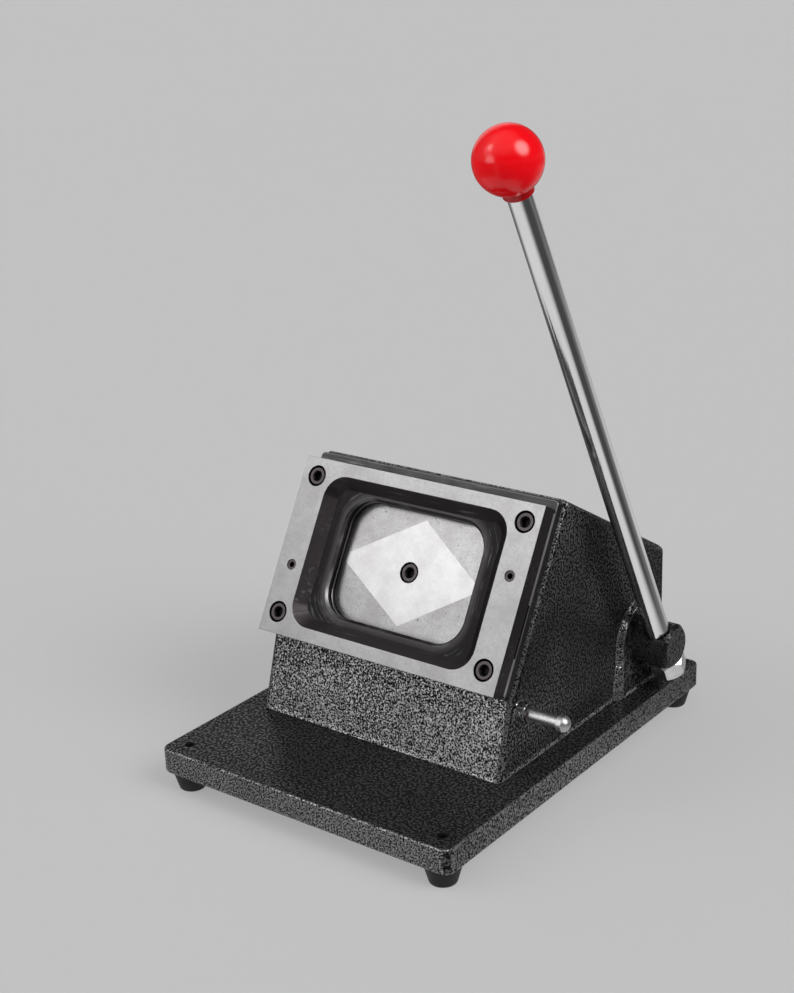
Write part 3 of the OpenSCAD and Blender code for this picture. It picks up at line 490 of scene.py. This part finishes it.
# Painted shade: a near-black copy for the insides of sockets and bores
socket_shade = black_oxide("black_socket_shade", tone=0.012, rough=0.55, worn=0.03)
diamond = ground_steel("ground_diamond", tone=0.44, cut=0.004, drag=0.004, fleck=0.2)
corner = brushed_arcs("ground_corner", tone=0.36)
steel = ground_steel("ground_strip", tone=0.6)
rod_steel = polished_steel("polished_rod", LEVER_TURN)
pin_steel = polished_steel("polished_pin", PIN_TURN, tone=0.5, rough=0.36)
zinc = zinc_plate("zinc_plate")
bronze = turned_bronze("turned_bronze")
rubber = black_rubber("moulded_rubber")
red = red_plastic("red_phenolic")
# Painted shade: a darker copy of the red for the collar under the ball
red_collar_shaded = red_plastic("red_phenolic_collar_shaded", tone=0.45)


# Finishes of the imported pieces

# Cosines from which a face counts as looking exactly, straight, mostly, halfway or partly in a direction
EXACTLY, STRAIGHT, MOSTLY, HALFWAY, PARTLY = 0.9999, 0.99, 0.9, 0.5, 0.4

# How far behind a piece's outermost face another still counts as part of it
SKIN = 0.2 * MM

# Depths in the die plate between which its ledge and the ledge's inner edge lie
LEDGE_BAND = (LEDGE_DEPTH - 0.1 * MM, LEDGE_DEPTH + 1.2 * MM)

# Cosines to the right between which a face is part of the shaft's chamfer
CHAMFER = (0.3, 0.95)

# Where the ball's collar begins under its top, as a share of its width
COLLAR_START = 0.95


def finish(name, *materials, pick=None):
    """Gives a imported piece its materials; pick says which one a face takes."""
    mesh = nodes[name].data
    mesh.materials.clear()
    for material in materials:
        mesh.materials.append(material)
    for face in mesh.polygons:
        face.material_index = pick(face) if pick else 0


def base_pick(face):
    """The base plate's paint is painted lighter on its front, as painted light, and darker on its top,
    corners and sides, as painted shade.

    The rims of the holes over the feet are painted black, as painted shade in the holes.
    """
    front, rim, top, flank = range(4)
    across = abs(abs(face.center.x - FOOT_MIDDLE) - FOOT_HALF[0])
    along = abs(abs(face.center.y) - FOOT_HALF[1])
    sideways = abs(face.normal.x)
    if face.normal.z > MOSTLY:
        return top
    if max(across, along) < FOOT_RIM:
        return rim
    if sideways > MOSTLY:
        return flank
    return top if sideways > PARTLY else front


def casting_pick(face):
    """The casting's seat is bare; its paint is painted lighter on its front, as painted light, darker on its
    sides, as painted shade, and darkest on its boss, as painted shade from the hub.
    """
    front, _, seat, side, boss = range(5)
    if face.normal.dot(PLATE_OUT) > STRAIGHT:
        return seat
    if face.normal.x > STRAIGHT and face.center.x > CASTING_RIGHT - SKIN:
        return boss
    return front if face.normal.y < -HALFWAY else side


def plate_pick(face):
    """The die plate's front is ground, its ledge rubbed, its window's lower wall painted lighter as painted
    light from above, the rest black.
    """
    ground, black, rubbed, lit_wall = range(4)
    facing = face.normal.dot(PLATE_OUT)
    depth = PLATE_FRONT - face.center.dot(PLATE_OUT)
    if facing > STRAIGHT and depth < SKIN:
        return ground
    if facing > HALFWAY and LEDGE_BAND[0] < depth < LEDGE_BAND[1]:
        return rubbed
    in_window = 0 < facing < STRAIGHT and depth < LEDGE_DEPTH
    return lit_wall if in_window and face.normal.dot(PLATE_UP) > PARTLY else black


def punch_pick(face):
    """Flat diamond, ground corners, and the punch's dark sides."""
    flat, ground, dark = range(3)
    facing = face.normal.dot(PLATE_OUT)
    if facing > EXACTLY:
        return flat
    return ground if facing > MOSTLY else dark


def rim_pick(name):
    """Screws and hollow dowels have a rubbed rim in front; their sockets, bores and sides are painted
    near-black, as painted shade in the recesses.
    """
    rubbed, black = range(2)
    front = reach(name, PLATE_OUT)

    def pick(face):
        on_rim = face.normal.dot(PLATE_OUT) > STRAIGHT and face.center.dot(PLATE_OUT) > front - SKIN
        return rubbed if on_rim else black
    return pick


def collar_pick():
    """The ball's collar, close to the rod, is painted darker than the ball, as painted shade under the ball.
    """
    ball, collar = range(2)
    top = reach("ball_knob", LEVER_UP)
    across = reach("ball_knob", RIGHT) + reach("ball_knob", -RIGHT)

    def pick(face):
        return collar if top - face.center.dot(LEVER_UP) > COLLAR_START * across else ball
    return pick


def shaft_pick(face):
    """The chamfer round the shaft's end is painted darker than its end and sides, as painted shade."""
    plain, chamfer = range(2)
    return chamfer if CHAMFER[0] < face.normal.x < CHAMFER[1] else plain


def back_pick(face):
    """The back plate's front is rubbed by the sheets that slide down it."""
    black, _, rubbed = range(3)
    return rubbed if face.normal.dot(PLATE_OUT) > STRAIGHT else black


def end_pick(face):
    """A bush is painted over, together with the casting, where its end shows."""
    bare, painted = range(2)
    return painted if abs(face.normal.x) > MOSTLY else bare


finish("base_plate", paint_base_lit, paint_rim, paint_top_shaded, paint_flank_shaded, pick=base_pick)
finish("body_casting", paint_body_lit, paint_edge, back_black, paint_side_shaded, paint_deep_shade, pick=casting_pick)
finish("eccentric_shaft", paint_shaft, paint_deep_shade, pick=shaft_pick)
finish("die_plate", plate_face, plate_black, ledge, plate_wall_lit, pick=plate_pick)
finish("back_plate", back_black, worn_edge, back_front, pick=back_pick)
finish("punch", diamond, corner, plate_black, pick=punch_pick)
for name in ("die_screws", "punch_screw", "dowel_pins"):
    finish(name, screw_black, socket_shade, pick=rim_pick(name))
for name in ("body_bolts", "hook_bolts", "stop_washer", "push_pad"):
    finish(name, screw_black)
for name in ("slot_spacers", "guide_key", "ram", "retract_hook", "punch_dowels"):
    finish(name, steel)
finish("lever_rod", rod_steel)
finish("stop_pin", pin_steel)
for name in ("lever_nut", "shaft_rings", "foot_screws", "foot_washers"):
    finish(name, zinc)
for name in ("guide_sleeve", "knob_insert"):
    finish(name, bronze)
for name in ("bearing_bush_left", "bearing_bush_right"):
    finish(name, bronze, paint_side_shaded, pick=end_pick)
finish("rubber_feet", rubber)
finish("ball_knob", red, red_collar_shaded, pick=collar_pick())


# Softened edges

# How far apart the points that are welded may lie, the turn up to which faces count as one,
# and the turn from which an edge is rounded
WELD_REACH = 0.001 * MM
FLAT_TURN = math.radians(0.5)
ROUND_TURN = math.radians(28)
ROUND_SEGMENTS = 2

# Slot of the finish that a piece has for its rounds; others take the finish of the faces beside them
EDGE_SLOT = 1
SLOT_BESIDE = -1


def soften(name, width, edge_slot=SLOT_BESIDE):
    """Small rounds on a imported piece's edges, as paint and deburring leave them."""
    piece = nodes[name]
    weld = piece.modifiers.new("weld", "WELD")
    weld.merge_threshold = WELD_REACH
    flat = piece.modifiers.new("flat", "DECIMATE")
    flat.decimate_type = "DISSOLVE"
    flat.angle_limit = FLAT_TURN
    flat.delimit = {"MATERIAL"}
    bevel = piece.modifiers.new("bevel", "BEVEL")
    bevel.width = width
    bevel.segments = ROUND_SEGMENTS
    bevel.limit_method = "ANGLE"
    bevel.angle_limit = ROUND_TURN
    bevel.use_clamp_overlap = False
    bevel.miter_outer = "MITER_ARC"
    bevel.material = edge_slot
    normals = piece.modifiers.new("normals", "WEIGHTED_NORMAL")
    normals.keep_sharp = False


soften("base_plate", 1.0 * MM, edge_slot=EDGE_SLOT)
soften("body_casting", 0.8 * MM, edge_slot=EDGE_SLOT)
soften("die_plate", 0.25 * MM)
soften("back_plate", 0.6 * MM, edge_slot=EDGE_SLOT)


# Stage: floor, wall, mirrored sheet, light and camera


def link(piece):
    bpy.context.scene.collection.objects.link(piece)


def stage_piece(name, points, faces, material, hidden_from=()):
    """A piece of the stage; the kinds of ray named in hidden_from pass it by."""
    mesh = bpy.data.meshes.new(name)
    mesh.from_pydata(points, [], faces)
    mesh.materials.append(material)
    piece = bpy.data.objects.new(name, mesh)
    link(piece)
    for ray in hidden_from:
        setattr(piece, "visible_" + ray, False)


def flat_square(name, half, height, material, hidden_from=()):
    points = [(-half, -half, height), (half, -half, height), (half, half, height), (-half, half, height)]
    stage_piece(name, points, [(0, 1, 2, 3)], material, hidden_from)


def standing_ring(name, radius, high, material, hidden_from=(), sides=64):
    turns = [2 * math.pi * i / sides for i in range(sides)]
    points = [(radius * math.cos(a), radius * math.sin(a), z) for z in (0, high) for a in turns]
    faces = [(i, (i + 1) % sides, sides + (i + 1) % sides, sides + i) for i in range(sides)]
    stage_piece(name, points, faces, material, hidden_from)


FLOOR_HALF = 20
FLOOR_TONE = 0.2
FLOOR_GLOW = 0.32
flat_square("floor", FLOOR_HALF, 0.0, pale_floor("pale_floor", FLOOR_TONE, FLOOR_GLOW))

# Round the floor's edge stands a pale wall that only the camera sees
WALL_HIGH = 15
WALL_GLOW = 0.527
standing_ring("wall", FLOOR_HALF, WALL_HIGH, pale_floor("pale_wall", 0.0, WALL_GLOW),
              hidden_from=("diffuse", "glossy", "shadow", "transmission"))

# What the bright pieces mirror of the floor is a sheet of its own, seen only in reflections
SHEET_LIFT = 0.2 * MM
flat_square("mirror_floor", FLOOR_HALF, SHEET_LIFT,
            mirror_floor("mirror_floor", bright=0.62, dark=0.055, dark_left=0.13),
            hidden_from=("camera", "diffuse", "shadow", "transmission"))

# Light from all round: its strength near the horizon and above, and the heights between which it changes
SKY_LOW, SKY_HIGH = 0.2, 0.08
SKY_HEIGHTS = (0.02, 0.2)

# Soft boxes: direction, inner and outer half angle in degrees, strength
BOXES = [
    ((-0.53, -0.61, 0.59), 4, 12, 3.1),
    ((-0.57, -0.66, 0.49), 7, 22, 0.9),
    ((-0.66, -0.54, 0.52), 20, 48, 0.25),
    ((-0.42, -0.90, 0.07), 4, 20, 3.0),
    ((0.78, 0.01, 0.62), 5, 27, 7.5),
    ((-0.72, 0.6, 0.35), 8, 30, 0.7),
    ((0.05, -0.4, 0.9), 15, 55, 0.65),
]


def studio_world():
    """Soft light from all round, with soft boxes to the front left, the right, the back left and overhead."""
    world = bpy.data.worlds.new("studio")
    bpy.context.scene.world = world
    t = Tree(world, shader="Background")
    direction = t.node("ShaderNodeTexCoord").outputs["Generated"]
    total = t.span(t.axes(direction)[2], *SKY_HEIGHTS, SKY_LOW, SKY_HIGH)
    for towards, inner, outer, strength in BOXES:
        edge, core = math.cos(math.radians(outer)), math.cos(math.radians(inner))
        facing = t.along(direction, Vector(towards).normalized())
        total = t.plus(total, t.span(facing, edge, core, 0.0, strength))
    t.surface(Color=grey(1), Strength=total)


studio_world()

# A fill from the left that gives no reflections, so that it shows on the ball and hardly anywhere else
FILL_FROM = Vector((-0.85, -0.45, 0.25))
FILL_STRENGTH = 0.85
FILL_SPREAD = math.radians(60)
fill_data = bpy.data.lights.new("fill", "SUN")
fill_data.energy = FILL_STRENGTH
fill_data.angle = FILL_SPREAD
fill = bpy.data.objects.new("fill", fill_data)
fill.rotation_euler = FILL_FROM.to_track_quat("Z", "Y").to_euler()
fill.visible_glossy = False
link(fill)

camera_data = bpy.data.cameras.new("camera")
camera_data.lens = CAMERA_LENS
camera_data.sensor_width = SENSOR
camera = bpy.data.objects.new("camera", camera_data)
camera.location = CAMERA_AT
camera.rotation_euler = Euler([math.radians(a) for a in CAMERA_TURN], "XYZ")
link(camera)
bpy.context.scene.camera = camera
bpy.context.scene.view_settings.view_transform = "Standard"
